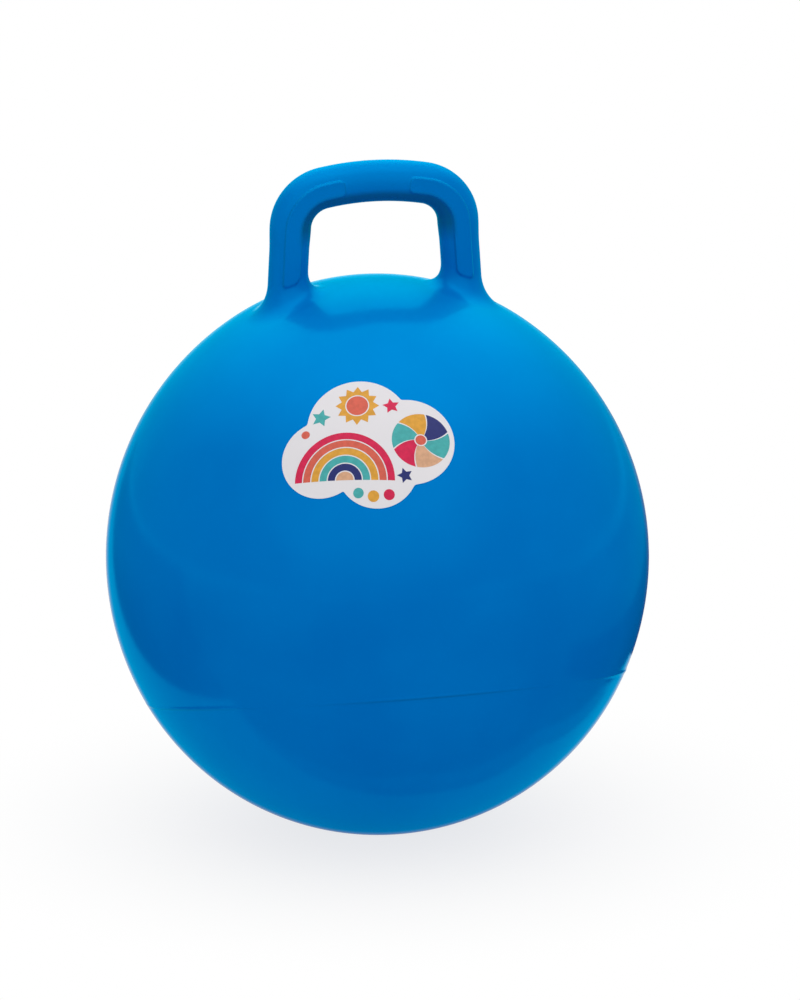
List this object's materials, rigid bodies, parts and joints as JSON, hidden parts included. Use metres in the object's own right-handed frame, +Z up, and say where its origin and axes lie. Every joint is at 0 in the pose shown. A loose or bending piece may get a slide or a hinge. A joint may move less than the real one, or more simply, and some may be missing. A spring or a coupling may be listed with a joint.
{
  "type": "hopper ball",
  "caption": "Inflated hopper ball of glossy soft PVC with a hollow loop handle to hold while bouncing, a pull-out air plug at the back and a die-cut decal at the front.",
  "frame": {"origin": "middle of the flat patch on which the ball rests", "axes": "+Z up through the handle's bar, +X along the bar, so the handle's loop lies in the XZ plane; the decal is on the -Y side and the valve on the +Y side"},
  "size_m": [0.4499, 0.45, 0.5655],
  "materials": {
    "skin": "gloss",
    "bush": "satin",
    "plug": "satin",
    "film": "gloss"
  },
  "bodies": {
    "ball": {"ball_skin": "skin", "handle_loop": "skin", "valve_seat": "bush", "front_decal": "film"},
    "plug": {"valve_plug": "plug"}
  },
  "joints": [
    {"name": "plug_pull", "type": "slide", "parent": "ball", "child": "plug", "axis": [0, 0.9135, 0.4067], "range_m": [0, 0.035]}
  ]
}
